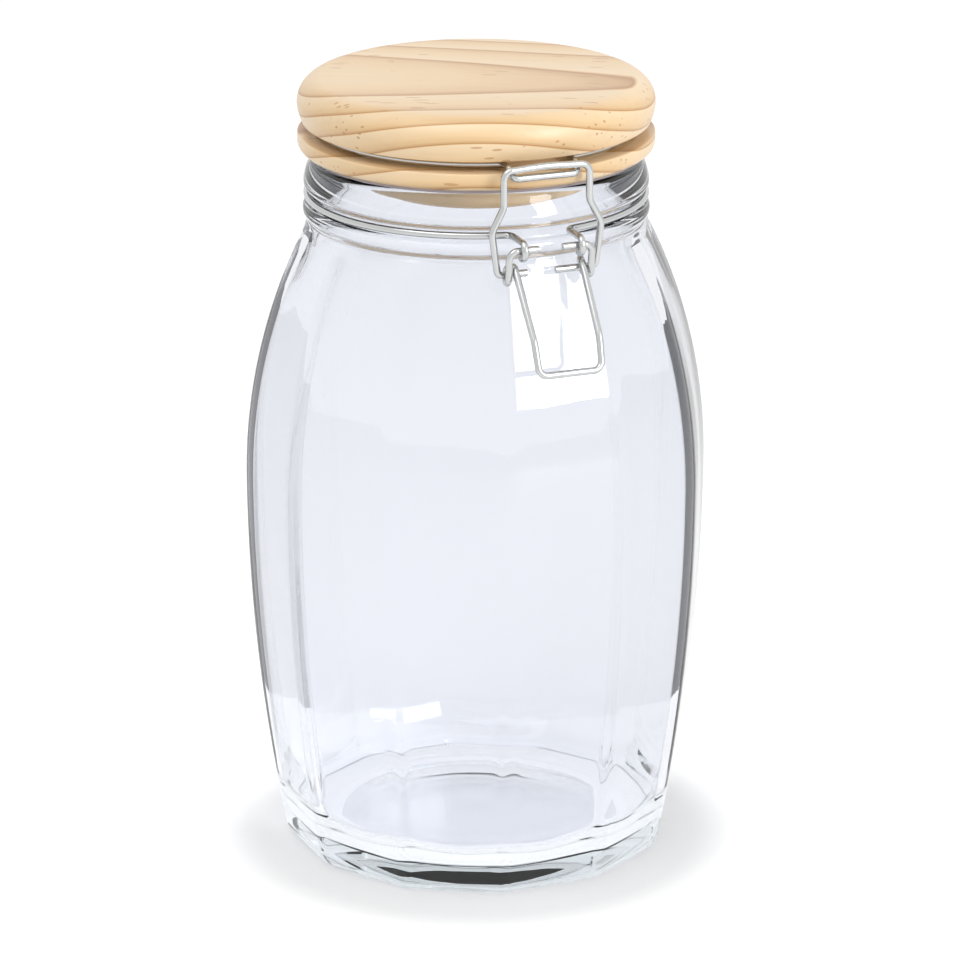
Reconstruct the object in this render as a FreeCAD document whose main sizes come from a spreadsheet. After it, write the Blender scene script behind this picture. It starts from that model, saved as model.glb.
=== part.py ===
import FreeCAD, Part
import Sketcher
import math
import os
from FreeCAD import Placement, Rotation, Vector

# Clip-top jar: a twelve-sided glass jar, a turned wooden lid with a rubber ring, and a clasp of
# bent steel wire. Millimetres, +Z up, origin at the middle of the base, the clasp facing -Y.
# Front and back lie along Y, so a distance "out" towards the clasp is a negative Y.

SIZES = [
    # glass
    ("facets", 12, "flat sides round the jar"),
    ("facet_turn", 1.9, "degrees from the clasp to the middle of the nearest facet"),
    ("belly_apothem", 65.1, "middle of a facet to the axis, at the belly"),
    ("belly_height", 112, "height of the widest section"),
    ("facet_bow_low", 590, "radius of a facet's bow below the belly"),
    ("corner_softening", 0.3, "how far the corners are rounded back"),
    ("foot_bevel", 2.2, "inward bevel at the foot"),
    ("foot_bevel_height", 2.8, "height of that bevel"),
    ("shoulder_inset", 0.3, "how far the shoulder starts inside the facets"),
    ("shoulder_bow", 90, "radius of the shoulder's bow"),
    ("shoulder_bow_inside", 26, "the same on the inside"),
    ("neck_foot", 188.0, "height where the shoulder meets the neck"),
    ("shoulder_fall", 8, "how far below that the round shoulder comes out of the facets"),
    ("shoulder_reach", 3.329, "how far the facets stand out past the neck groove there"),
    ("facet_fall", 1.5, "how far below the neck the facets end, inside the shoulder"),
    ("notch_depth", 1.1, "how far the body is drawn in under the lower bead"),
    ("neck_fillet", 1.2, "rounding between shoulder and lower bead"),
    ("neck_radius", 47.3, "neck at the bottom of the wire groove"),
    ("bead_depth", 2.1, "how far both neck beads stand out of that groove"),
    ("low_bead_radius", 2.6, "roundness of the lower bead"),
    ("collar_play", 0.8, "how much wider the neck groove is than its wire"),
    ("groove_fillet", 1.0, "rounding between the groove and its beads"),
    ("neck_height", 18.3, "foot of the neck to the rim"),
    ("crest_rise", 2.2, "groove to the widest part of the upper bead"),
    ("crest_round", 2.2, "rounding of the upper bead under its crest"),
    ("neck_taper_bow", 15, "bow of the neck from that crest up to the lip"),
    ("lip_round", 3.2, "rounding of the lip towards the rim"),
    ("rim_setback", 1.9, "how far the lip lies inside the beads"),
    ("rim_round", 1.6, "rounding of the rim, inside and outside"),
    ("neck_wall", 3.5, "glass between the groove and the opening"),
    ("side_wall", 3.0, "glass at the middle of a facet"),
    ("floor_thickness", 6.0, "glass at the inner edge of the floor"),
    ("floor_crown", 1.2, "rise of the floor to its middle"),
    ("heel_round", 15, "rounding between floor and side, inside"),
    ("punt_radius", 39, "hollow under the base"),
    ("punt_depth", 2.4, "depth of that hollow"),
    # lid
    ("lid_thickness", 20.5, "underside to top of the lid, without the plug"),
    ("lid_overhang", 3.65, "how far the lid's lower ring stands out past the neck groove"),
    ("lid_flare", 0.05, "how far the top disc stands out past that ring"),
    ("lid_undercut", 1.2, "how far the disc's lower edge lies inside the ring"),
    ("lid_side_bow", 14, "bow of the disc's side"),
    ("lid_arris", 0.5, "rounding of the ring's upper edge"),
    ("lid_ring_height", 5.2, "height of the lower ring"),
    ("lid_ring_round", 2.6, "rounding under the lower ring"),
    ("lid_wire_play", 1.0, "how much wider the lid groove is than its wire"),
    ("lid_groove_depth", 6.55, "depth of that groove"),
    ("lid_top_round", 7, "rounding of the lid's top edge"),
    ("plug_clearance", 3.6, "gap between plug and mouth"),
    ("plug_depth", 8.0, "how far the plug reaches below the rim"),
    ("plug_round", 2.2, "rounding under the plug"),
    ("gasket_thickness", 1.2, "rubber ring"),
    ("gasket_overhang", 0.3, "how far the rubber ring stands out past the neck groove"),
    ("gasket_gap", 0.1, "rubber to rim"),
    # wire
    ("wire_size", 2.0, "diameter of all the wire"),
    ("pin_clearance", 0.25, "gap between a pin and the eye round it"),
    ("seat_clearance", 0.1, "gap between a wire and the groove it lies in"),
    ("bend_radius", 2.5, "ordinary bends of the wire"),
    # clasp
    ("clasp_reach", 4.8, "collar wire to the bail and its pins"),
    ("tongue_inset", 0.9, "how far the tongue lies inside the bail's crossbar"),
    ("tongue_rise_reach", 2.4, "how far in the tongue's legs reach while they rise"),
    ("tongue_bend", 2.0, "corners of the tongue"),
    ("tongue_leg_bend", 1.6, "bends at the top of its legs"),
    ("pivot_reach", 3.2, "bail to the lever's pivot"),
    ("hook_side", 8.5, "middle of the clasp to a collar hook"),
    ("hook_return", 0.4, "how far a hook's end turns back under the pivot"),
    ("pin_fall", 7.35, "how far the bail's pins lie below the pivot"),
    ("bail_gap", 0.6, "height of the bail's crossbar clear of the tongue"),
    ("bail_half_width", 12.7, "bail legs at the top"),
    ("bail_flare", 3.6, "how far the legs spread below"),
    ("bail_knee_fall", 10.2, "crossbar to where the legs start to spread"),
    ("bail_wide_fall", 17.0, "crossbar to where they are widest"),
    ("bail_corner", 2.6, "upper corners of the bail"),
    ("bail_leg_bend", 5, "bends in its legs"),
    ("bail_pin_bend", 1.6, "bends at its pins"),
    ("bail_arch_bend", 60, "bow in the middle of its crossbar"),
    ("bail_foot", 14.6, "middle of the clasp to a leg at its pin"),
    ("bail_arch", 0.6, "rise of the bail's crossbar"),
    ("bail_pin_right", 2.7, "middle of the clasp to the end of the right-hand pin"),
    ("bail_pin_left", 5.9, "the same for the left-hand pin, cut shorter"),
    ("tongue_half_width", 9.9, "tongue of the lid wire"),
    ("tongue_drop", 2.5, "how far the tongue dips below the lid groove"),
    ("crank_side", 12.3, "middle of the clasp to a lever crank"),
    ("stub_end", 3.5, "middle of the clasp to the end of a lever stub"),
    ("handle_top_side", 10.0, "middle of the clasp to a handle leg at its eye"),
    ("handle_low_side", 9.3, "middle of the clasp to a handle leg at the bottom"),
    ("handle_slope", 52, "degrees below level of the handle's upper part"),
    ("handle_run", 14.2, "outward reach of that sloping part"),
    ("handle_drop", 8.6, "height of the handle's steep end"),
    ("handle_lean", 2.8, "outward reach of that end"),
    ("handle_bend", 9, "bends half way down the handle"),
    ("handle_corner", 2.6, "lower corners of the handle"),
    ("eye_squeeze", 0.96, "bends of a lever eye against a full round one"),
    # hinge at the back
    ("hinge_reach", 8.1, "collar wire to the hinge bar"),
    ("hinge_half_width", 13, "half the hinge bar"),
    ("hinge_leg_side", 9, "middle to a leg of the lid wire"),
]

doc = FreeCAD.newDocument("clip_top_jar")
sheet = doc.addObject("Spreadsheet::Sheet", "dims")
for row, (alias, value, note) in enumerate(SIZES, start=1):
    sheet.set(f"A{row}", alias)
    sheet.set(f"B{row}", str(value))
    sheet.setAlias(f"B{row}", alias)
    sheet.set(f"C{row}", note)
doc.recompute()


class Size:
    """A size with its number and the sheet expression that gives it."""

    def __init__(self, value, text):
        self.value = float(value)
        self.text = text

    def __add__(self, other):
        other = as_size(other)
        return Size(self.value + other.value, f"({self.text} + {other.text})")

    def __sub__(self, other):
        other = as_size(other)
        return Size(self.value - other.value, f"({self.text} - {other.text})")

    def __mul__(self, other):
        other = as_size(other)
        return Size(self.value * other.value, f"({self.text} * {other.text})")

    def __truediv__(self, other):
        other = as_size(other)
        return Size(self.value / other.value, f"({self.text} / {other.text})")


def as_size(number):
    return number if isinstance(number, Size) else Size(number, repr(number))


def root(size):
    return Size(math.sqrt(size.value), f"sqrt({size.text})")


def cosine(angle):
    """Cosine of an angle in degrees."""
    return Size(math.cos(math.radians(angle.value)), f"cos({angle.text} * 1deg)")


D = {alias: Size(sheet.get(alias), f"dims.{alias}") for alias, _, _ in SIZES}
V = {alias: size.value for alias, size in D.items()}


# ---------------------------------------------------------------- sketches

def new_body(label):
    body = doc.addObject("PartDesign::Body", label)
    body.Label = label
    return body


def origin_feature(body, role):
    return next(item for item in body.Origin.OriginFeatures if item.Role == role)


def pin_point(sketch, geo, end, x, y):
    """Hold one end of a sketch edge at (x, y)."""
    for axis, across, size in (("DistanceX", -2, x), ("DistanceY", -1, y)):
        size = as_size(size)
        if size.value == 0:
            sketch.addConstraint(Sketcher.Constraint("PointOnObject", geo, end, across))
            continue
        at = sketch.addConstraint(Sketcher.Constraint(axis, -1, 1, geo, end, size.value))
        sketch.setExpression(f"Constraints[{at}]", size.text)


def arc_between(start, stop, radius, bulge):
    """Arc from start to stop; bulge 1 puts its centre on the left of the way, -1 on the right."""
    chord = stop - start
    half = chord.Length / 2
    reach = math.sqrt(radius ** 2 - half ** 2)
    left = Vector(-chord.y, chord.x, 0).normalize()
    centre = (start + stop) / 2 + left * reach * bulge
    first, last = (start, stop) if bulge > 0 else (stop, start)
    a = math.atan2(first.y - centre.y, first.x - centre.x)
    b = math.atan2(last.y - centre.y, last.x - centre.x)
    return Part.ArcOfCircle(Part.Circle(centre, Vector(0, 0, 1), radius), a, b)


def outline(body, name, corners):
    """Closed sketch on the XZ plane. A corner is (x, z) before a straight edge, or
    (x, z, radius, bulge) before an arc."""
    sketch = body.newObject("Sketcher::SketchObject", name)
    sketch.AttachmentSupport = (origin_feature(body, "XZ_Plane"), [""])
    sketch.MapMode = "FlatFace"
    points = [Vector(as_size(c[0]).value, as_size(c[1]).value, 0) for c in corners]
    ends = []
    for i, corner in enumerate(corners):
        start, stop = points[i], points[(i + 1) % len(points)]
        if len(corner) == 2:
            geo = sketch.addGeometry(Part.LineSegment(start, stop), False)
            ends.append((geo, 1, 2))
            continue
        radius, bulge = as_size(corner[2]), corner[3]
        geo = sketch.addGeometry(arc_between(start, stop, radius.value, bulge), False)
        ends.append((geo, 1, 2) if bulge > 0 else (geo, 2, 1))
        at = sketch.addConstraint(Sketcher.Constraint("Radius", geo, radius.value))
        sketch.setExpression(f"Constraints[{at}]", radius.text)
    for i, (geo, start, stop) in enumerate(ends):
        pin_point(sketch, geo, start, corners[i][0], corners[i][1])
        after, after_start, _ = ends[(i + 1) % len(ends)]
        sketch.addConstraint(Sketcher.Constraint("Coincident", geo, stop, after, after_start))
    return sketch


def turned(body, kind, name, corners):
    """Revolution or Groove of an outline about the upright axis."""
    sketch = outline(body, name + "_outline", corners)
    feature = body.newObject("PartDesign::" + kind, name)
    feature.Profile = sketch
    feature.ReferenceAxis = (sketch, ["V_Axis"])
    feature.Angle = 360
    body.Tip = feature
    doc.recompute()
    return feature


# ---------------------------------------------------------------- glass jar

wire_radius = D["wire_size"] / 2
collar_radius = D["neck_radius"] + D["seat_clearance"] + wire_radius
bead_radius = D["neck_radius"] + D["bead_depth"]
groove_width = D["wire_size"] + D["collar_play"]
groove_floor = D["neck_foot"] + D["low_bead_radius"] * 2
groove_top = groove_floor + groove_width
collar_height = groove_floor + groove_width / 2
mouth_radius = D["neck_radius"] - D["neck_wall"]
rim_height = D["neck_foot"] + D["neck_height"]
facet_end = D["neck_foot"] - D["facet_fall"]
shoulder_start = D["neck_foot"] - D["shoulder_fall"]
shoulder_facet = D["neck_radius"] + D["shoulder_reach"]
belly_rise = shoulder_start - D["belly_height"]
belly_fall = D["belly_apothem"] - shoulder_facet
facet_bow_high = (belly_rise * belly_rise + belly_fall * belly_fall) / (belly_fall * 2)


def bowed(belly, bow, height):
    """Radius at a height, on an arc that is widest at the belly."""
    away = height - D["belly_height"]
    return belly - bow + root(bow * bow - away * away)


def make_glass_jar():
    body = new_body("glass_jar")
    slant = cosine(as_size(180) / D["facets"])
    corner_belly = D["belly_apothem"] / slant - D["corner_softening"]
    corner_low, corner_high = D["facet_bow_low"] * slant, facet_bow_high * slant
    bevel_top = D["foot_bevel_height"]
    base_corner = bowed(corner_belly, corner_low, bevel_top)
    base_facet = bowed(D["belly_apothem"], D["facet_bow_low"], bevel_top)

    # a round barrel through the corners, then one facet cut off its side and repeated
    turned(body, "Revolution", "barrel", [
        (0, 0),
        (base_corner - D["foot_bevel"], 0),
        (base_corner, bevel_top, corner_low, 1),
        (corner_belly, D["belly_height"], corner_high, 1),
        (bowed(corner_belly, corner_high, facet_end), facet_end),
        (0, facet_end),
    ])
    outside = corner_belly + 10
    cut_outline = outline(body, "facet_outline", [
        (base_facet - D["foot_bevel"], 0),
        (base_facet, bevel_top, D["facet_bow_low"], 1),
        (D["belly_apothem"], D["belly_height"], facet_bow_high, 1),
        (bowed(D["belly_apothem"], facet_bow_high, facet_end), facet_end),
        (outside, facet_end),
        (outside, 0),
    ])
    facet = body.newObject("PartDesign::Pocket", "facet")
    facet.Profile = cut_outline
    facet.SideType = "Symmetric"
    facet.setExpression("Length", f"({corner_belly.text}) * 1.2")
    body.Tip = facet
    doc.recompute()
    ring = body.newObject("PartDesign::PolarPattern", "facet_ring")
    ring.Originals = [facet]
    ring.Axis = (origin_feature(body, "Z_Axis"), [""])
    ring.Angle = 360
    ring.setExpression("Occurrences", "dims.facets")
    body.Tip = ring
    doc.recompute()

    # shoulder, lower bead, wire groove, upper bead and rim
    shoulder = shoulder_facet - D["shoulder_inset"]
    bead_flank = D["neck_radius"] + D["bead_depth"] * 0.2
    bead_top = rim_height - D["rim_round"]
    lip = bead_radius - D["rim_setback"]
    turned(body, "Revolution", "neck", [
        (0, shoulder_start),
        (shoulder, shoulder_start, D["shoulder_bow"], 1),
        (bead_radius - D["notch_depth"], D["neck_foot"] - 0.6, D["neck_fillet"], -1),
        (bead_radius - 0.7, D["neck_foot"] + 0.4, D["low_bead_radius"], 1),
        (bead_flank, groove_floor - 0.3, D["groove_fillet"], -1),
        (D["neck_radius"], groove_floor + 0.4),
        (D["neck_radius"], groove_top - 0.4, D["groove_fillet"], -1),
        (bead_flank, groove_top + 0.3, D["crest_round"], 1),
        (bead_radius, groove_top + D["crest_rise"], D["neck_taper_bow"], 1),
        (lip, bead_top - 0.4, D["lip_round"], 1),
        (lip - D["rim_round"], rim_height),
        (0, rim_height),
    ])

    # the space inside, round where the outside is faceted
    inner_belly = D["belly_apothem"] - D["side_wall"]
    inner_low = D["facet_bow_low"] - D["side_wall"]
    inner_high = facet_bow_high - D["side_wall"]
    heel_top = D["floor_thickness"] + D["heel_round"]
    heel_out = bowed(inner_belly, inner_low, heel_top)
    neck_in = shoulder_start + 1.5
    turned(body, "Groove", "inside", [
        (0, D["floor_thickness"] + D["floor_crown"]),
        (heel_out - D["heel_round"], D["floor_thickness"], D["heel_round"] * 1.04, 1),
        (heel_out, heel_top, inner_low, 1),
        (inner_belly, D["belly_height"], inner_high, 1),
        (bowed(inner_belly, inner_high, neck_in), neck_in, D["shoulder_bow_inside"], 1),
        (mouth_radius, D["neck_foot"]),
        (mouth_radius, bead_top, D["rim_round"] * 1.02, -1),
        (mouth_radius + D["rim_round"], rim_height),
        (mouth_radius + D["rim_round"], rim_height + 2),
        (0, rim_height + 2),
    ])
    punt_bow = (D["punt_radius"] * D["punt_radius"] + D["punt_depth"] * D["punt_depth"]) \
        / (D["punt_depth"] * 2)
    turned(body, "Groove", "punt", [
        (0, 0),
        (D["punt_radius"], 0, punt_bow, 1),
        (0, D["punt_depth"]),
    ])
    body.setExpression("Placement.Rotation.Angle", "dims.facet_turn * 1deg")
    return body


# ---------------------------------------------------------------- lid

lid_under = rim_height + D["gasket_gap"] + D["gasket_thickness"]
lid_groove_width = D["wire_size"] + D["lid_wire_play"]
ring_top = lid_under + D["lid_ring_height"]
disc_under = ring_top + lid_groove_width
lid_top = lid_under + D["lid_thickness"]
plug_radius = mouth_radius - D["plug_clearance"]
ring_radius = D["neck_radius"] + D["lid_overhang"]
groove_radius = ring_radius - D["lid_groove_depth"]
lid_wire_radius = groove_radius + D["seat_clearance"] + wire_radius
lid_wire_height = ring_top + lid_groove_width / 2


def make_lid_wood():
    body = new_body("lid_wood")
    plug_under = rim_height - D["plug_depth"]
    lid_radius = ring_radius + D["lid_flare"]
    turned(body, "Revolution", "turned_lid", [
        (0, plug_under),
        (plug_radius - D["plug_round"], plug_under, D["plug_round"], 1),
        (plug_radius, plug_under + D["plug_round"]),
        (plug_radius, lid_under),
        (ring_radius - D["lid_ring_round"], lid_under, D["lid_ring_round"], 1),
        (ring_radius, lid_under + D["lid_ring_round"]),
        (ring_radius, ring_top - D["lid_arris"], D["lid_arris"], 1),
        (ring_radius - D["lid_arris"], ring_top),
        (groove_radius, ring_top),
        (groove_radius, disc_under),
        (ring_radius - D["lid_undercut"], disc_under, D["lid_side_bow"], 1),
        (lid_radius, lid_top - D["lid_top_round"], D["lid_top_round"], 1),
        (lid_radius - D["lid_top_round"], lid_top),
        (0, lid_top),
    ])
    return body


def make_gasket():
    body = new_body("gasket")
    seat = rim_height + D["gasket_gap"]
    inner = plug_radius + D["seat_clearance"]
    outer = D["neck_radius"] + D["gasket_overhang"]
    edge = D["gasket_thickness"] / 4
    turned(body, "Revolution", "rubber_ring", [
        (inner, seat),
        (outer - edge, seat, edge, 1),
        (outer, seat + edge),
        (outer, lid_under),
        (inner, lid_under),
    ])
    return body


# ---------------------------------------------------------------- bent wire

def at(side, out, height):
    """A point from its distance to the right, its distance out to the front, and its height."""
    return Vector(side, -out, height)


def mirrored(bends):
    """The same bends on the left, in the opposite order."""
    return [(Vector(-p.x, p.y, p.z), radius) for p, radius in reversed(bends)]


def bent_path(bends):
    """Wire of straight runs joined by tangent arcs, from (corner, bend radius) pairs."""
    edges = []
    here = bends[0][0]

    def run_to(point):
        if (point - here).Length > 1e-4:
            edges.append(Part.LineSegment(here, point).toShape())

    for before, (corner, radius), after in zip(bends, bends[1:], bends[2:]):
        into = (corner - before[0]).normalize()
        away = (after[0] - corner).normalize()
        turn = into.getAngle(away)
        setback = radius * math.tan(turn / 2)
        start, stop = corner - into * setback, corner + away * setback
        sagitta = radius / math.cos(turn / 2) - radius
        middle = corner + (away - into).normalize() * sagitta
        run_to(start)
        edges.append(Part.Arc(start, middle, stop).toShape())
        here = stop
    run_to(bends[-1][0])
    return Part.Wire(edges)


def make_wire(label, bends):
    """Round wire along bent_path(bends), as a sweep of a circle."""
    path = doc.addObject("Part::Feature", label + "_path")
    path.Shape = bent_path(bends)
    section = doc.addObject("Part::Circle", label + "_section")
    section.setExpression("Radius", wire_radius.text)
    start, after = bends[0][0], bends[1][0]
    section.Placement = Placement(start, Rotation(Vector(0, 0, 1), after - start))
    wire = doc.addObject("Part::Sweep", label)
    wire.Label = label
    wire.Sections = [section]
    wire.Spine = (path, [])
    wire.Solid = True
    wire.Frenet = False
    return wire


def half_ring(radius, height, front_side, back_side, bend):
    """Bends of half a wire ring on the right. It starts and ends where the ring turns
    outwards, on the lines that lie front_side and back_side from the middle."""
    first = math.asin((front_side + bend) / radius)
    last = math.pi - math.asin((back_side + bend) / radius)

    def on_tangent(angle, side):
        run = (side - radius * math.sin(angle)) / math.cos(angle)
        out = radius * math.cos(angle) - run * math.sin(angle)
        return at(side, out, height)

    pieces = 5
    step = (last - first) / pieces
    reach = radius / math.cos(step / 2)
    bends = [(on_tangent(first, front_side), bend)]
    for i in range(pieces):
        angle = first + step * (i + 0.5)
        bends.append((at(reach * math.sin(angle), reach * math.cos(angle), height), radius))
    bends.append((on_tangent(last, back_side), bend))
    return bends


eye_radius = V["wire_size"] + V["pin_clearance"]
pivot_height = collar_height.value - eye_radius
tongue_height = lid_wire_height.value - V["tongue_drop"]
bail_top = tongue_height + V["wire_size"] + V["bail_gap"]
pin_height = pivot_height - V["pin_fall"]
clasp_out = collar_radius.value + V["clasp_reach"]
pivot_out = clasp_out + V["pivot_reach"]
hinge_out = collar_radius.value + V["hinge_reach"]


def make_collar_wire():
    """Ring in the neck groove. In front it ends in two hooks over the lever's stubs, and at
    the back it steps out to the bar that the lid hinges on."""
    height, side = collar_height.value, V["hook_side"]
    over, front = pivot_height - eye_radius, pivot_out + eye_radius
    hook = [
        (at(side, pivot_out - V["hook_return"], over), 0),
        (at(side, front, over), eye_radius),
        (at(side, front, height), eye_radius),
    ]
    ring = half_ring(collar_radius.value, height, side, V["hinge_half_width"], V["bend_radius"])
    bar = [(at(V["hinge_half_width"], -hinge_out, height), V["bend_radius"])]
    half = hook + ring + bar
    return make_wire("collar_wire", half + mirrored(half))


def make_lid_wire():
    """Ring in the lid's groove. In front it steps out to the tongue under the bail, and at
    the back its ends hang down and curl round the hinge bar."""
    height, width = lid_wire_height.value, V["tongue_half_width"]
    tongue_out = clasp_out - V["tongue_inset"]
    tongue = [
        (at(width, tongue_out, tongue_height), V["tongue_bend"]),
        (at(width, tongue_out - V["tongue_rise_reach"], height), V["tongue_leg_bend"]),
    ]
    side, hinge_height = V["hinge_leg_side"], collar_height.value
    ring = half_ring(lid_wire_radius.value, height, width, side, V["bend_radius"])
    near, far = eye_radius - hinge_out, -eye_radius - hinge_out
    low, high = hinge_height - eye_radius, hinge_height + eye_radius
    eye = [
        (at(side, near, height), V["bend_radius"]),
        (at(side, near, low), eye_radius),
        (at(side, far, low), eye_radius),
        (at(side, far, high), eye_radius),
        (at(side, -hinge_out, high), 0),
    ]
    half = tongue + ring + eye
    return make_wire("lid_wire", mirrored(half) + half)


def make_bail():
    """Flat loop that pulls the tongue down, with its two pins turned inwards."""
    out, width, bend = clasp_out, V["bail_half_width"], V["bail_leg_bend"]
    leg = [
        (at(width, out, bail_top), V["bail_corner"]),
        (at(width, out, bail_top - V["bail_knee_fall"]), bend),
        (at(width + V["bail_flare"], out, bail_top - V["bail_wide_fall"]), bend),
        (at(V["bail_foot"], out, pin_height), V["bail_pin_bend"]),
    ]
    middle = [(at(0, out, bail_top + V["bail_arch"]), V["bail_arch_bend"])]
    left_end = [(at(-V["bail_pin_left"], out, pin_height), 0)]
    right_end = [(at(V["bail_pin_right"], out, pin_height), 0)]
    return make_wire("bail", left_end + mirrored(leg) + middle + leg + right_end)


def make_lever():
    """Handle that is thrown down to close the clasp. From each stub in a collar hook the wire
    cranks down, makes one turn round the bail's pin and runs on as a leg of the handle."""
    axis_out, axis_height = clasp_out, pin_height
    crank, top_side, low_side = V["crank_side"], V["handle_top_side"], V["handle_low_side"]
    slide = (crank - top_side) / 3
    slope = math.radians(V["handle_slope"])
    leave = axis_out + eye_radius * math.tan(slope / 2)
    top = axis_height + eye_radius
    elbow_out = leave + V["handle_run"]
    elbow_height = top - V["handle_run"] * math.tan(slope)
    tight = eye_radius * V["eye_squeeze"]
    half = [
        (at(V["stub_end"], pivot_out, pivot_height), 0),
        (at(crank, pivot_out, pivot_height), V["bend_radius"]),
        (at(crank, axis_out + eye_radius, axis_height - eye_radius), tight),
        (at(crank - slide, axis_out - eye_radius, axis_height - eye_radius), tight),
        (at(crank - slide * 2, axis_out - eye_radius, top), tight),
        (at(top_side, leave, top), tight),
        (at((top_side + low_side) / 2, elbow_out, elbow_height), V["handle_bend"]),
        (at(low_side, elbow_out + V["handle_lean"], elbow_height - V["handle_drop"]),
         V["handle_corner"]),
    ]
    return make_wire("lever", half + mirrored(half))


# ---------------------------------------------------------------- build and write

parts = [
    make_glass_jar(),
    make_collar_wire(),
    make_lid_wood(),
    make_gasket(),
    make_lid_wire(),
    make_bail(),
    make_lever(),
]
doc.recompute()

for item in doc.Objects:
    if "Invalid" in item.State or "Error" in item.State:
        raise RuntimeError(f"{item.Name} did not build: {item.State}")
for item in parts:
    shape = item.Shape
    if shape.isNull() or not shape.isValid() or len(shape.Solids) != 1:
        raise RuntimeError(f"{item.Label} is not one valid solid")

os.makedirs("parts", exist_ok=True)
for item in parts:
    item.Shape.exportStep(f"parts/{item.Label}.step")
    box = item.Shape.BoundBox
    print(f"{item.Label}: {item.Shape.Volume / 1000:.2f} cm3, "
          f"x {box.XMin:.2f} {box.XMax:.2f}, y {box.YMin:.2f} {box.YMax:.2f}, "
          f"z {box.ZMin:.2f} {box.ZMax:.2f}")
print(f"lid hinge at y {hinge_out:.2f}, z {collar_height.value:.2f}")
print(f"lever pivot at y {-pivot_out:.2f}, z {pivot_height:.2f}")
print(f"bail pins at y {-clasp_out:.2f}, z {pin_height:.2f}")
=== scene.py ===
import math
import bmesh
import bpy
from mathutils import Matrix, Vector, noise


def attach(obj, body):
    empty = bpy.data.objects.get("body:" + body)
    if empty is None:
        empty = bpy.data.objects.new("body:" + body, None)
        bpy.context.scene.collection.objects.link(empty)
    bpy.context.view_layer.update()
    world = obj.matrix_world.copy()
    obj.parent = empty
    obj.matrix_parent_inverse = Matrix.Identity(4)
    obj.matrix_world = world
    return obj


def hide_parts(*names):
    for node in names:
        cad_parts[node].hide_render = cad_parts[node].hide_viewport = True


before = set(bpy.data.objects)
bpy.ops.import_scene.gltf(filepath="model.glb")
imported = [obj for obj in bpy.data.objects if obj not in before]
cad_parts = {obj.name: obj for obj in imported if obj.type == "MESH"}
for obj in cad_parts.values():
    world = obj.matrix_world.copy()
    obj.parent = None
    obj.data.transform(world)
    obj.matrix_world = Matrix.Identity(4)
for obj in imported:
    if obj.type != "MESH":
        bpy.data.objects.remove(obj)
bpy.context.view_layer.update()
mm = 0.001
tau = math.tau


# ---- shared helpers

def newPiece(name, bm, smooth=True):
    mesh = bpy.data.meshes.new(name)
    bm.to_mesh(mesh)
    bm.free()
    piece = bpy.data.objects.new(name, mesh)
    bpy.context.scene.collection.objects.link(piece)
    if smooth:
        mesh.shade_smooth()
    print("made", name, len(mesh.vertices), "vertices")
    return piece


def arcRun(start, end, radius, bulge, steps):
    # points from start up to, not including, end; bulge 1 puts the centre left of the way
    first, last = Vector(start), Vector(end)
    chord = last - first
    reach = math.sqrt(max(radius ** 2 - (chord.length / 2) ** 2, 0))
    left = Vector((-chord.y, chord.x)).normalized()
    centre = (first + last) / 2 + left * reach * bulge
    a = math.atan2(first.y - centre.y, first.x - centre.x)
    turn = 2 * math.asin(min(chord.length / 2 / radius, 1)) * bulge
    return [(centre.x + radius * math.cos(a + turn * i / steps),
             centre.y + radius * math.sin(a + turn * i / steps)) for i in range(steps)]


def straightRun(start, end, steps):
    first, last = Vector(start), Vector(end)
    return [tuple(first.lerp(last, i / steps)) for i in range(steps)]


def spinRun(bm, run, steps, closed=False):
    # turns a run of (radius, height) points, in millimetres, about the upright axis
    verts = [bm.verts.new((r * mm, 0, z * mm)) for r, z in run]
    edges = [bm.edges.new(pair) for pair in zip(verts, verts[1:])]
    if closed:
        edges.append(bm.edges.new((verts[-1], verts[0])))
    before = set(bm.verts) - set(verts)
    bmesh.ops.spin(bm, geom=verts + edges, cent=(0, 0, 0), axis=(0, 0, 1), angle=tau,
                   steps=steps, use_merge=True)
    return [v for v in bm.verts if v not in before]


def softMax(a, b, width):
    gap = max(width - abs(a - b), 0) / width
    return max(a, b) + gap * gap * width / 4


# ---- glass

jarGlass = dict(
    facets=12, turn=1.9, apothem=65.1, belly=112, bowLow=590, bowHigh=167,
    cornerSoft=0.3, footBevel=2.2, footBevelHeight=2.8,
    shoulderStart=180, shoulderInset=0.3, shoulderBow=90, facetEnd=186.5, fade=0.8,
    neckFoot=188.0, neckRadius=47.3, beadDepth=2.1, lowBead=2.6, groove=2.8,
    notch=1.1, crestRise=2.2, crestRound=2.2, neckTaperBow=15, lipSetback=1.9,
    rim=206.3, rimRound=1.6, mouth=43.8,
    wall=2.8, innerSoft=0.6, floor=6.0, crown=1.2, heel=15, puntRadius=39, puntDepth=2.4,
    neckFillet=1.2, grooveFillet=1.0, lipRound=3.2, mouthRound=1.65, innerShoulderBow=26,
    stepsPerFacet=24, innerFacetEnd=186, wave=0.22, heelWave=0.6,
    ticks=300, colour=(0.90, 0.91, 0.945, 1), shadowColour=(0.88, 0.89, 0.9, 1),
    depthColour=(0.80, 0.85, 0.86, 1), depthDensity=12)


def bowedRadius(belly, bow, z):
    return belly - bow + math.sqrt(bow ** 2 - (z - jarGlass["belly"]) ** 2)


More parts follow.
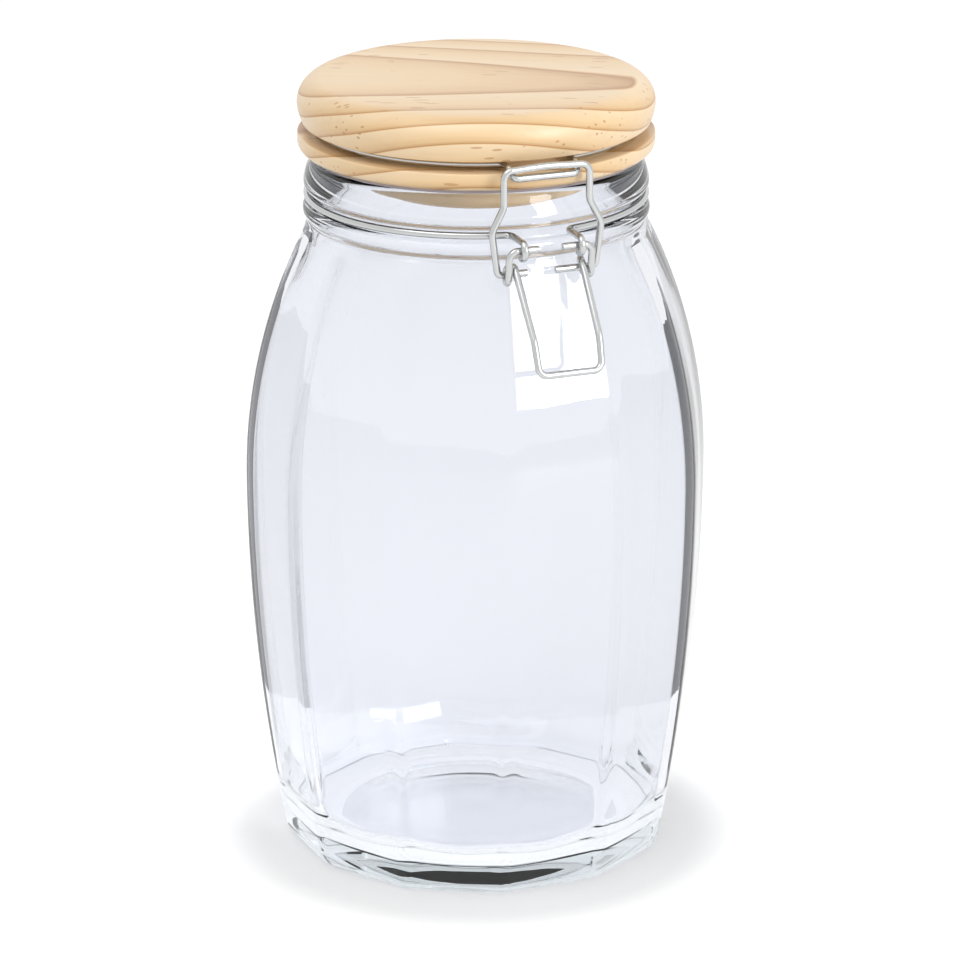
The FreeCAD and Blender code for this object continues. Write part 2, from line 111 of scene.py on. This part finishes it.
def makeGlass():
    g = jarGlass
    half = math.pi / g["facets"]
    slant = math.cos(half)
    cornerBelly = g["apothem"] / slant - g["cornerSoft"]

    def bowAt(z):
        return g["bowLow"] if z < g["belly"] else g["bowHigh"]

    def flatRadius(z):
        return bowedRadius(g["apothem"], bowAt(z), z)

    def cornerRadius(z):
        return bowedRadius(cornerBelly, bowAt(z) * slant, z)

    foot = cornerRadius(g["footBevelHeight"])
    bead = g["neckRadius"] + g["beadDepth"]
    neckFoot, neck = g["neckFoot"], g["neckRadius"]
    grooveLow = neckFoot + 2 * g["lowBead"]
    grooveHigh = grooveLow + g["groove"]
    beadTop = g["rim"] - g["rimRound"]
    shoulder = (flatRadius(g["shoulderStart"]) - g["shoulderInset"], g["shoulderStart"])
    notch = (bead - g["notch"], neckFoot - 0.6)
    shoulderRun = arcRun(shoulder, notch, g["shoulderBow"], 1, 60)

    def shoulderRadius(z):
        for (r0, z0), (r1, z1) in zip(shoulderRun, shoulderRun[1:]):
            if z0 <= z <= z1:
                return r0 + (r1 - r0) * (z - z0) / (z1 - z0)
        return shoulderRun[-1][0] if z > shoulderRun[-1][1] else shoulderRun[0][0]

    def sideRadius(angle, z):
        # distance from the axis to the outside of the facets or the shoulder
        local = (angle - math.radians(g["turn"])) % (2 * half)
        local = min(local, 2 * half - local)
        facet = min(cornerRadius(z), flatRadius(z) / math.cos(local))
        if z <= g["shoulderStart"]:
            return facet
        if z >= g["facetEnd"]:
            return shoulderRadius(z)
        return softMax(facet, shoulderRadius(z), g["fade"])

    sideHeights = [g["footBevelHeight"] + (g["shoulderStart"] - g["footBevelHeight"]) * i / 64
                   for i in range(64)]
    sideHeights += [g["shoulderStart"] + (neckFoot - 0.6 - g["shoulderStart"]) * i / 20
                    for i in range(20)]
    puntBow = (g["puntRadius"] ** 2 + g["puntDepth"] ** 2) / (2 * g["puntDepth"])
    bottom = arcRun((0, g["puntDepth"]), (g["puntRadius"], 0), puntBow, -1, 14)
    bottom += straightRun((g["puntRadius"], 0), (foot - g["footBevel"], 0), 6)
    bottom += straightRun((foot - g["footBevel"], 0), (foot, g["footBevelHeight"]), 3)
    side = [(cornerRadius(min(z, g["facetEnd"])) if z < g["shoulderStart"] else
             softMax(cornerRadius(z), shoulderRadius(z), g["fade"]), z) for z in sideHeights]
    crest = grooveHigh + g["crestRise"]
    neckRun = arcRun(notch, (bead - 0.7, neckFoot + 0.4), g["neckFillet"], -1, 4)
    neckRun += arcRun((bead - 0.7, neckFoot + 0.4), (neck + 0.4, grooveLow - 0.3),
                      g["lowBead"], 1, 12)
    neckRun += arcRun((neck + 0.4, grooveLow - 0.3), (neck, grooveLow + 0.4),
                      g["grooveFillet"], -1, 3)
    neckRun += straightRun((neck, grooveLow + 0.4), (neck, grooveHigh - 0.4), 4)
    neckRun += arcRun((neck, grooveHigh - 0.4), (neck + 0.4, grooveHigh + 0.3),
                      g["grooveFillet"], -1, 3)
    lip = bead - g["lipSetback"]
    neckRun += arcRun((neck + 0.4, grooveHigh + 0.3), (bead, crest), g["crestRound"], 1, 8)
    neckRun += arcRun((bead, crest), (lip, beadTop - 0.4), g["neckTaperBow"], 1, 8)
    neckRun += arcRun((lip, beadTop - 0.4), (lip - g["rimRound"], g["rim"]), g["lipRound"], 1, 6)
    rimTop = (g["mouth"] + g["rimRound"], g["rim"])
    neckRun += straightRun((lip - g["rimRound"], g["rim"]), rimTop, 1) + [rimTop]

    bm = bmesh.new()
    steps = g["facets"] * g["stepsPerFacet"]
    shaped = spinRun(bm, bottom + side + neckRun, steps)
    bmesh.ops.rotate(bm, verts=shaped, cent=(0, 0, 0),
                     matrix=Matrix.Rotation(math.radians(g["turn"]) + half, 3, "Z"))
    for v in shaped:
        z = v.co.z / mm
        r = math.hypot(v.co.x, v.co.y) / mm
        if z > neckFoot - 0.65 or r < g["puntRadius"] + 1:
            continue
        # the foot keeps its bevel all round, inside the flat or the corner above it
        level = max(z, g["footBevelHeight"])
        target = sideRadius(math.atan2(v.co.y, v.co.x), level)
        if z < g["footBevelHeight"]:
            share = (r - g["puntRadius"]) / (foot - g["puntRadius"])
            target = g["puntRadius"] + share * (target - g["puntRadius"])
        scale = target / r
        v.co.x *= scale
        v.co.y *= scale

    # the space inside is softly faceted and a little wavy, and round again at the neck
    innerBelly = g["apothem"] - g["wall"]
    innerLow, innerHigh = g["bowLow"] - g["wall"], g["bowHigh"] - g["wall"]
    heelTop = g["floor"] + g["heel"]
    heelOut = bowedRadius(innerBelly, innerLow, heelTop)
    neckIn = g["shoulderStart"] + 1.5
    inside = [rimTop]
    inside += arcRun(rimTop, (g["mouth"], beadTop), g["mouthRound"], 1, 5)[1:]
    inside += straightRun((g["mouth"], beadTop), (g["mouth"], neckFoot), 8)
    inside += arcRun((g["mouth"], neckFoot), (bowedRadius(innerBelly, innerHigh, neckIn), neckIn),
                     g["innerShoulderBow"], -1, 12)
    inside += [(bowedRadius(innerBelly, innerHigh, neckIn + (g["belly"] - neckIn) * i / 16),
                neckIn + (g["belly"] - neckIn) * i / 16) for i in range(16)]
    inside += [(bowedRadius(innerBelly, innerLow, g["belly"] + (heelTop - g["belly"]) * i / 24),
                g["belly"] + (heelTop - g["belly"]) * i / 24) for i in range(24)]
    heelFoot = (heelOut - g["heel"], g["floor"])
    inside += arcRun((heelOut, heelTop), heelFoot, g["heel"] * 1.04, -1, 14)
    inside += straightRun(heelFoot, (0, g["floor"] + g["crown"]), 10)
    inside += [(0, g["floor"] + g["crown"])]
    hollow = spinRun(bm, inside, steps)
    bmesh.ops.rotate(bm, verts=hollow, cent=(0, 0, 0),
                     matrix=Matrix.Rotation(math.radians(g["turn"]) + half, 3, "Z"))
    for v in hollow:
        z = v.co.z / mm
        r = math.hypot(v.co.x, v.co.y)
        if z > neckFoot - 6 or r < 0.012:
            continue
        fade = min((neckFoot - 6 - z) / 20, 1)
        local = (math.atan2(v.co.y, v.co.x) - math.radians(g["turn"])) % (2 * half)
        local = min(local, 2 * half - local)
        reach = min(r / math.cos(local), r / slant - g["innerSoft"] * mm)
        along = min(max((g["innerFacetEnd"] - z) / 22, 0), 1) * min(max((z - g["floor"]) / 12, 0), 1)
        grow = 1 + (reach / r - 1) * along
        v.co.x *= grow
        v.co.y *= grow
        across = Vector((v.co.x, v.co.y, 0)).normalized()
        drift = noise.noise(Vector((across.x * 2.2, across.y * 2.2, z * 0.012)))
        heelShare = max(0, 1 - abs(z - g["floor"] - 4) / 9)
        ripple = noise.noise(Vector((across.x * 3.1 + 7, across.y * 3.1, z * 0.05)))
        push = (drift * g["wave"] * fade + ripple * g["heelWave"] * heelShare) * mm
        v.co += across * push
    bmesh.ops.remove_doubles(bm, verts=bm.verts, dist=1e-6)
    bmesh.ops.recalc_face_normals(bm, faces=bm.faces)
    return newPiece("jarGlass", bm)


# ---- lid and rubber ring

lidWood = dict(
    ringRadius=50.95, discRadius=51.0, undercut=1.2, sideBow=14, topRound=7, thickness=20.5,
    under=207.6, ringHeight=5.2, ringRound=2.6, groove=3.0, grooveDepth=6.55,
    plugRadius=40.2, plugLow=198.3, plugRound=2.2, arris=0.5, steps=160)


def makeLid():
    w = lidWood
    ring, under = w["ringRadius"], w["under"]
    ringTop = under + w["ringHeight"]
    discLow = ringTop + w["groove"]
    top = under + w["thickness"]
    core = ring - w["grooveDepth"]
    plug, low = w["plugRadius"], w["plugLow"]
    arris = w["arris"]
    run = straightRun((0, low), (plug - w["plugRound"], low), 6)
    run += arcRun((plug - w["plugRound"], low), (plug, low + w["plugRound"]), w["plugRound"], 1, 6)
    run += straightRun((plug, low + w["plugRound"]), (plug, under), 3)
    run += straightRun((plug, under), (ring - w["ringRound"], under), 3)
    run += arcRun((ring - w["ringRound"], under), (ring, under + w["ringRound"]),
                  w["ringRound"], 1, 8)
    run += straightRun((ring, under + w["ringRound"]), (ring, ringTop - arris), 3)
    run += arcRun((ring, ringTop - arris), (ring - arris, ringTop), arris, 1, 4)
    run += straightRun((ring - arris, ringTop), (core, ringTop), 4)
    run += straightRun((core, ringTop), (core, discLow), 3)
    edge = ring - w["undercut"]
    run += straightRun((core, discLow), (edge - arris, discLow), 4)
    run += arcRun((edge - arris, discLow), (edge, discLow + arris), arris, 1, 4)
    run += arcRun((edge, discLow + arris), (w["discRadius"], top - w["topRound"]),
                  w["sideBow"], 1, 8)
    run += arcRun((w["discRadius"], top - w["topRound"]), (w["discRadius"] - w["topRound"], top),
                  w["topRound"], 1, 14)
    run += straightRun((w["discRadius"] - w["topRound"], top), (0, top), 10) + [(0, top)]
    bm = bmesh.new()
    spinRun(bm, run, w["steps"])
    bmesh.ops.remove_doubles(bm, verts=bm.verts, dist=1e-6)
    bmesh.ops.recalc_face_normals(bm, faces=bm.faces)
    return newPiece("lidWood", bm)


rubberRing = dict(inner=40.3, outer=47.6, low=206.4, high=207.6, edge=0.35, steps=160)


def makeRubber():
    s = rubberRing
    e, low, high = s["edge"], s["low"], s["high"]
    run = straightRun((s["inner"], low), (s["outer"] - e, low), 4)
    run += arcRun((s["outer"] - e, low), (s["outer"], low + e), e, 1, 4)
    run += arcRun((s["outer"], high - e), (s["outer"] - e, high), e, 1, 4)
    run += straightRun((s["outer"] - e, high), (s["inner"], high), 4) + [(s["inner"], high)]
    bm = bmesh.new()
    spinRun(bm, run, s["steps"], closed=True)
    bmesh.ops.remove_doubles(bm, verts=bm.verts, dist=1e-6)
    bmesh.ops.recalc_face_normals(bm, faces=bm.faces)
    return newPiece("rubberRing", bm)


# ---- materials

def newMaterial(name):
    material = bpy.data.materials.new(name)
    material.use_nodes = True
    tree = material.node_tree
    return material, tree, tree.nodes["Principled BSDF"], tree.nodes["Material Output"]


def groupNodes(name, inputs, outputs):
    # an empty shader group with its named sockets; inputs and outputs are (name, kind, value)
    group = bpy.data.node_groups.new(name, "ShaderNodeTree")
    for label, kind, value in inputs:
        socket = group.interface.new_socket(label, in_out="INPUT", socket_type=kind)
        if value is not None:
            socket.default_value = value
    for label, kind in outputs:
        group.interface.new_socket(label, in_out="OUTPUT", socket_type=kind)
    return group, group.nodes.new("NodeGroupInput"), group.nodes.new("NodeGroupOutput")


def place(tree, kind, **settings):
    node = tree.nodes.new("ShaderNode" + kind)
    for key, value in settings.items():
        setattr(node, key, value)
    return node


def join(tree, source, target):
    tree.links.new(source, target)


def mathNode(tree, operation, a, b=None, c=None, clamp=False):
    node = place(tree, "Math", operation=operation, use_clamp=clamp)
    for socket, value in zip(node.inputs, (a, b, c)):
        if value is None:
            continue
        if isinstance(value, (int, float)):
            socket.default_value = value
        else:
            join(tree, value, socket)
    return node.outputs[0]


def mixColour(tree, share, a, b):
    node = place(tree, "Mix", data_type="RGBA")
    for socket, value in ((node.inputs["Factor"], share), (node.inputs[6], a), (node.inputs[7], b)):
        if isinstance(value, (tuple, int, float)):
            socket.default_value = value
        else:
            join(tree, value, socket)
    return node.outputs[2]


def footRelief(tree):
    # fine radial ticks on the ring that the jar stands on
    coords = place(tree, "TexCoord")
    split = place(tree, "SeparateXYZ")
    join(tree, coords.outputs["Object"], split.inputs["Vector"])
    x, y, z = split.outputs
    angle = mathNode(tree, "ARCTAN2", y, x)
    tick = mathNode(tree, "SINE", mathNode(tree, "MULTIPLY", angle, jarGlass["ticks"]))
    low = mathNode(tree, "LESS_THAN", z, 0.0006)
    reach = mathNode(tree, "SQRT", mathNode(tree, "ADD", mathNode(tree, "MULTIPLY", x, x),
                                            mathNode(tree, "MULTIPLY", y, y)))
    wide = mathNode(tree, "GREATER_THAN", reach, (jarGlass["puntRadius"] + 4) * mm)
    height = mathNode(tree, "MULTIPLY", mathNode(tree, "MULTIPLY", tick, low), wide)
    relief = place(tree, "Bump")
    relief.inputs["Strength"].default_value = 0.6
    relief.inputs["Distance"].default_value = 0.0002
    join(tree, height, relief.inputs["Height"])
    return relief.outputs["Normal"]


def makeGlassLook():
    material, tree, shader, out = newMaterial("clearGlass")
    shader.inputs["Base Color"].default_value = jarGlass["colour"]
    shader.inputs["Roughness"].default_value = 0.0
    shader.inputs["IOR"].default_value = 1.5
    shader.inputs["Transmission Weight"].default_value = 1
    join(tree, footRelief(tree), shader.inputs["Normal"])
    # lamps reach the floor through the glass
    light = place(tree, "LightPath")
    clear = place(tree, "BsdfTransparent")
    clear.inputs["Color"].default_value = jarGlass["shadowColour"]
    mix = place(tree, "MixShader")
    join(tree, light.outputs["Is Shadow Ray"], mix.inputs["Fac"])
    join(tree, shader.outputs["BSDF"], mix.inputs[1])
    join(tree, clear.outputs["BSDF"], mix.inputs[2])
    join(tree, mix.outputs["Shader"], out.inputs["Surface"])
    tint = place(tree, "VolumeAbsorption")
    tint.inputs["Color"].default_value = jarGlass["depthColour"]
    tint.inputs["Density"].default_value = jarGlass["depthDensity"]
    join(tree, tint.outputs["Volume"], out.inputs["Volume"])
    return material


def makeHandlingGroup():
    # fine scratches and smudges: a height for a bump and a small change of roughness
    group, given, out = groupNodes(
        "handling",
        [("Vector", "NodeSocketVector", None), ("Scale", "NodeSocketFloat", 900.0),
         ("Roughness", "NodeSocketFloat", 0.3), ("Spread", "NodeSocketFloat", 0.1)],
        [("Roughness", "NodeSocketFloat"), ("Height", "NodeSocketFloat")])
    fine = place(group, "TexNoise")
    fine.inputs["Detail"].default_value = 3
    join(group, given.outputs["Vector"], fine.inputs["Vector"])
    join(group, given.outputs["Scale"], fine.inputs["Scale"])
    broad = place(group, "TexNoise")
    broad.inputs["Scale"].default_value = 60
    join(group, given.outputs["Vector"], broad.inputs["Vector"])
    swing = mathNode(group, "SUBTRACT", broad.outputs["Fac"], 0.5)
    swing = mathNode(group, "MULTIPLY", swing, given.outputs["Spread"])
    rough = mathNode(group, "ADD", given.outputs["Roughness"], swing, clamp=True)
    join(group, rough, out.inputs["Roughness"])
    join(group, fine.outputs["Fac"], out.inputs["Height"])
    return group


handling = makeHandlingGroup()


def useHandling(tree, shader, scale, roughness, spread, bump):
    coords = place(tree, "TexCoord")
    wear = place(tree, "Group", node_tree=handling)
    wear.inputs["Scale"].default_value = scale
    wear.inputs["Roughness"].default_value = roughness
    wear.inputs["Spread"].default_value = spread
    join(tree, coords.outputs["Object"], wear.inputs["Vector"])
    join(tree, wear.outputs["Roughness"], shader.inputs["Roughness"])
    relief = place(tree, "Bump")
    relief.inputs["Strength"].default_value = bump
    relief.inputs["Distance"].default_value = 0.0001
    join(tree, wear.outputs["Height"], relief.inputs["Height"])
    join(tree, relief.outputs["Normal"], shader.inputs["Normal"])


pine = dict(
    grainTurn=-27, pithHeight=0.303, pithAside=0.005, taper=0.045, ring=0.0055, ringStart=0.0031,
    sway=0.004, pale=(0.85, 0.655, 0.42, 1), warm=(0.77, 0.50, 0.215, 1), line=(0.42, 0.185, 0.05, 1))


def makeWoodLook():
    material, tree, shader, _ = newMaterial("palePine")
    coords = place(tree, "TexCoord")
    turn = place(tree, "Mapping", vector_type="TEXTURE")
    turn.inputs["Rotation"].default_value = (0, 0, math.radians(pine["grainTurn"]))
    join(tree, coords.outputs["Object"], turn.inputs["Vector"])
    split = place(tree, "SeparateXYZ")
    join(tree, turn.outputs["Vector"], split.inputs["Vector"])
    along, across, up = split.outputs

    # growth rings: distance from the pith, which lies above the lid and leans along the grain
    sway = place(tree, "TexNoise")
    sway.inputs["Scale"].default_value = 14
    sway.inputs["Detail"].default_value = 1.5
    stretch = place(tree, "Mapping")
    stretch.inputs["Scale"].default_value = (0.45, 1.5, 1.5)
    join(tree, turn.outputs["Vector"], stretch.inputs["Vector"])
    join(tree, stretch.outputs["Vector"], sway.inputs["Vector"])
    side = mathNode(tree, "ADD", across, pine["pithAside"])
    depth = mathNode(tree, "SUBTRACT", up, pine["pithHeight"])
    radius = mathNode(tree, "SQRT", mathNode(tree, "ADD", mathNode(tree, "POWER", side, 2),
                                             mathNode(tree, "POWER", depth, 2)))
    radius = mathNode(tree, "MULTIPLY_ADD", along, pine["taper"], radius)
    radius = mathNode(tree, "ADD", radius, pine["ringStart"])
    radius = mathNode(tree, "MULTIPLY_ADD", sway.outputs["Fac"], pine["sway"], radius)
    years = mathNode(tree, "DIVIDE", radius, pine["ring"])
    phase = mathNode(tree, "FRACT", years)

    late = place(tree, "ValToRGB")
    late.color_ramp.interpolation = "EASE"
    steps = late.color_ramp.elements
    steps[0].position, steps[0].color = 0.0, (0, 0, 0, 1)
    steps[1].position, steps[1].color = 1.0, (0, 0, 0, 1)
    for position, level in ((0.5, 0.03), (0.8, 0.18), (0.9, 0.5), (0.955, 1.0), (0.985, 0.1)):
        steps.new(position).color = (level, level, level, 1)
    join(tree, phase, late.inputs["Fac"])

    # fine fibres and short dark resin pores along the grain
    fibre = place(tree, "TexNoise")
    fibre.inputs["Scale"].default_value = 420
    fibre.inputs["Detail"].default_value = 3
    comb = place(tree, "Mapping")
    comb.inputs["Scale"].default_value = (0.05, 1, 1)
    join(tree, turn.outputs["Vector"], comb.inputs["Vector"])
    join(tree, comb.outputs["Vector"], fibre.inputs["Vector"])
    pores = place(tree, "TexVoronoi", feature="F1")
    pores.inputs["Scale"].default_value = 520
    dash = place(tree, "Mapping")
    dash.inputs["Scale"].default_value = (0.16, 1, 1)
    join(tree, turn.outputs["Vector"], dash.inputs["Vector"])
    join(tree, dash.outputs["Vector"], pores.inputs["Vector"])
    dots = mathNode(tree, "LESS_THAN", pores.outputs["Distance"], 0.2)
    patches = place(tree, "TexNoise")
    patches.inputs["Scale"].default_value = 45
    join(tree, turn.outputs["Vector"], patches.inputs["Vector"])
    dots = mathNode(tree, "MULTIPLY", dots,
                    mathNode(tree, "GREATER_THAN", patches.outputs["Fac"], 0.52))

    ground = mixColour(tree, mathNode(tree, "MULTIPLY", phase, 0.8), pine["pale"], pine["warm"])
    grain = mixColour(tree, mathNode(tree, "MULTIPLY", late.outputs["Color"], 0.9),
                      ground, pine["line"])
    streak = mathNode(tree, "MULTIPLY", mathNode(tree, "SUBTRACT", fibre.outputs["Fac"], 0.5), 0.35,
                      clamp=True)
    grain = mixColour(tree, streak, grain, pine["line"])
    grain = mixColour(tree, mathNode(tree, "MULTIPLY", dots, 0.6), grain, pine["line"])
    join(tree, grain, shader.inputs["Base Color"])

    wear = place(tree, "Group", node_tree=handling)
    wear.inputs["Scale"].default_value = 500
    wear.inputs["Roughness"].default_value = 0.38
    wear.inputs["Spread"].default_value = 0.12
    join(tree, coords.outputs["Object"], wear.inputs["Vector"])
    join(tree, wear.outputs["Roughness"], shader.inputs["Roughness"])
    height = mathNode(tree, "MULTIPLY_ADD", fibre.outputs["Fac"], 0.5,
                      mathNode(tree, "MULTIPLY", late.outputs["Color"], 0.5))
    relief = place(tree, "Bump")
    relief.inputs["Strength"].default_value = 0.25
    relief.inputs["Distance"].default_value = 0.0001
    join(tree, height, relief.inputs["Height"])
    join(tree, relief.outputs["Normal"], shader.inputs["Normal"])
    shader.inputs["Coat Weight"].default_value = 0.5
    shader.inputs["Coat Roughness"].default_value = 0.35
    return material


def makeRubberLook():
    material, tree, shader, _ = newMaterial("greyRubber")
    shader.inputs["Base Color"].default_value = (0.36, 0.31, 0.32, 1)
    useHandling(tree, shader, 1500, 0.6, 0.1, 0.3)
    return material


def makeWireLook():
    material, tree, shader, _ = newMaterial("platedWire")
    shader.inputs["Base Color"].default_value = (0.56, 0.57, 0.57, 1)
    shader.inputs["Metallic"].default_value = 1
    useHandling(tree, shader, 900, 0.2, 0.16, 0.12)
    return material


# ---- build the pieces

glass = makeGlass()
glass.data.materials.append(makeGlassLook())
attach(glass, "jar")
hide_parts("glass_jar")

lid = makeLid()
lid.data.materials.append(makeWoodLook())
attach(lid, "lid")
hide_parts("lid_wood")

rubber = makeRubber()
rubber.data.materials.append(makeRubberLook())
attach(rubber, "lid")
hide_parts("gasket")

wires = dict(collar_wire=("collarWire", "jar"), lid_wire=("lidWire", "lid"),
             bail=("bailWire", "bail"), lever=("leverWire", "lever"))


def makeWire(node, name):
    # the bent wire with its surface made smooth, and sharp only round its cut ends
    bm = bmesh.new()
    bm.from_mesh(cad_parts[node].data)
    bmesh.ops.remove_doubles(bm, verts=bm.verts, dist=1e-6)
    for edge in bm.edges:
        if len(edge.link_faces) == 2 and edge.calc_face_angle() > math.radians(50):
            edge.smooth = False
    return newPiece(name, bm)


wireLook = makeWireLook()
for node, (name, body) in wires.items():
    wire = makeWire(node, name)
    wire.data.materials.append(wireLook)
    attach(wire, body)
    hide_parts(node)


# ---- stage, light and camera

view = dict(azimuth=-21.5, elevation=18.55, distance=1.456, lookHeight=0.1072, aside=0.00107,
            lens=187.5)
right = Vector((math.cos(math.radians(view["azimuth"])), math.sin(math.radians(view["azimuth"])), 0))


def around(azimuth, elevation, distance):
    # a place seen from the jar's middle; azimuth 0 is in front of the clasp
    a, e = math.radians(azimuth), math.radians(elevation)
    return Vector((math.sin(a) * math.cos(e), -math.cos(a) * math.cos(e), math.sin(e))) * distance


def aim(thing, place, target):
    thing.location = place
    thing.rotation_euler = (place - target).to_track_quat("Z", "Y").to_euler()


def makeCamera():
    target = Vector((0, 0, view["lookHeight"])) + right * view["aside"]
    data = bpy.data.cameras.new("camera")
    data.lens = view["lens"]
    data.clip_start = 0.01
    camera = bpy.data.objects.new("camera", data)
    bpy.context.scene.collection.objects.link(camera)
    aim(camera, target + around(view["azimuth"], view["elevation"], view["distance"]), target)
    bpy.context.scene.camera = camera


floorLight = dict(
    # painted shadow: the floor seen by the camera glows less near the jar, so it darkens round the
    # foot over the real shadow
    paintedShadowShift=0.006, paintedShadowStart=0.062, paintedShadowEnd=0.084, nearLift=0.0, farLift=0.3,
    # painted light: seen through the glass, the floor under the jar glows more than further out
    paintedUnderLightStart=0.06, paintedUnderLightEnd=0.12, paintedUnderLight=0.3, glassLift=0.22,
    # painted shade: rays through the edges of the glass see the far floor dark
    paintedEdgeFrom=0.14, paintedEdgeShade=(0.12, 0.12, 0.13, 1), colour=(0.9, 0.9, 0.9, 1))


def bentRay(tree):
    # 1 for rays mirrored in metal or bent by glass
    light = place(tree, "LightPath")
    return mathNode(tree, "MAXIMUM", light.outputs["Is Glossy Ray"],
                    light.outputs["Is Transmission Ray"])


def paintedEdgeShadeRays(tree):
    # 1 for rays that crossed fewer than the four surfaces of the glass, as they do at its edges; the
    # floor is painted dark for them, a painted shade along the glass's edges
    depth = place(tree, "LightPath").outputs["Transmission Depth"]
    few = mathNode(tree, "LESS_THAN", depth, 3.5)
    some = mathNode(tree, "GREATER_THAN", depth, 0.5)
    return mathNode(tree, "MULTIPLY", few, some)


def liftBetween(tree, distance, start, end, low, high):
    # a soft change of the floor's glow with the distance from the jar, which paints a shadow round
    # its foot and light under it
    rise = place(tree, "MapRange", interpolation_type="SMOOTHSTEP")
    for name, value in (("From Min", start), ("From Max", end), ("To Min", low), ("To Max", high)):
        rise.inputs[name].default_value = floorLight[value]
    join(tree, distance, rise.inputs["Value"])
    return rise.outputs["Result"]


def makeFloor():
    bm = bmesh.new()
    bmesh.ops.create_grid(bm, x_segments=1, y_segments=1, size=6)
    floor = newPiece("floor", bm, smooth=False)
    material, tree, shader, out = newMaterial("whiteFloor")
    shader.inputs["Roughness"].default_value = 0.9
    shader.inputs["Specular IOR Level"].default_value = 0
    coords = place(tree, "TexCoord")
    away = place(tree, "VectorMath", operation="DISTANCE")
    join(tree, coords.outputs["Object"], away.inputs[0])
    away.inputs[1].default_value = around(view["azimuth"], 0, floorLight["paintedShadowShift"])
    distance = away.outputs["Value"]
    # painted shadow: no glow for camera rays close to the foot, more further out
    seen = liftBetween(tree, distance, "paintedShadowStart", "paintedShadowEnd", "nearLift", "farLift")
    # painted light: the glow that rays bent by the glass see under the jar
    through = liftBetween(tree, distance, "paintedUnderLightStart", "paintedUnderLightEnd", "paintedUnderLight", "glassLift")
    direct = mathNode(tree, "MULTIPLY", place(tree, "LightPath").outputs["Is Camera Ray"], seen)
    lift = mathNode(tree, "MULTIPLY_ADD", bentRay(tree), through, direct)
    # painted shade: away from the jar the floor turns dark and stops glowing for rays through the
    # glass's edges
    edge = mathNode(tree, "MULTIPLY", paintedEdgeShadeRays(tree),
                    mathNode(tree, "GREATER_THAN", distance, floorLight["paintedEdgeFrom"]))
    lift = mathNode(tree, "MULTIPLY", lift, mathNode(tree, "SUBTRACT", 1, edge))
    join(tree, mixColour(tree, edge, floorLight["colour"], floorLight["paintedEdgeShade"]),
         shader.inputs["Base Color"])
    glow = place(tree, "Emission")
    join(tree, lift, glow.inputs["Strength"])
    both = place(tree, "AddShader")
    join(tree, shader.outputs["BSDF"], both.inputs[0])
    join(tree, glow.outputs["Emission"], both.inputs[1])
    join(tree, both.outputs["Shader"], out.inputs["Surface"])
    floor.data.materials.append(material)


studio = dict(light=0.74, seen=1.0)


def makeWorld():
    world = bpy.data.worlds.new("studio")
    world.use_nodes = True
    bpy.context.scene.world = world
    tree = world.node_tree
    background = tree.nodes["Background"]
    background.inputs["Color"].default_value = (1, 1, 1, 1)
    camera = place(tree, "LightPath").outputs["Is Camera Ray"]
    strength = place(tree, "MapRange")
    strength.inputs["To Min"].default_value = studio["light"]
    strength.inputs["To Max"].default_value = studio["seen"]
    join(tree, mathNode(tree, "MAXIMUM", camera, bentRay(tree)), strength.inputs["Value"])
    join(tree, strength.outputs["Result"], background.inputs["Strength"])


def makeSoftbox(name, azimuth, elevation, distance, width, height, power):
    data = bpy.data.lights.new(name, "AREA")
    data.shape = "RECTANGLE"
    data.size, data.size_y = width, height
    data.energy = power
    lamp = bpy.data.objects.new(name, data)
    bpy.context.scene.collection.objects.link(lamp)
    middle = Vector((0, 0, 0.11))
    aim(lamp, middle + around(azimuth, elevation, distance), middle)


makeCamera()
makeFloor()
makeWorld()
makeSoftbox("windowLight", azimuth=25, elevation=24, distance=1.3, width=0.3, height=0.8, power=6)
makeSoftbox("topLight", azimuth=-60, elevation=65, distance=1.4, width=0.9, height=0.9, power=4)

bpy.context.scene.view_settings.view_transform = "Standard"
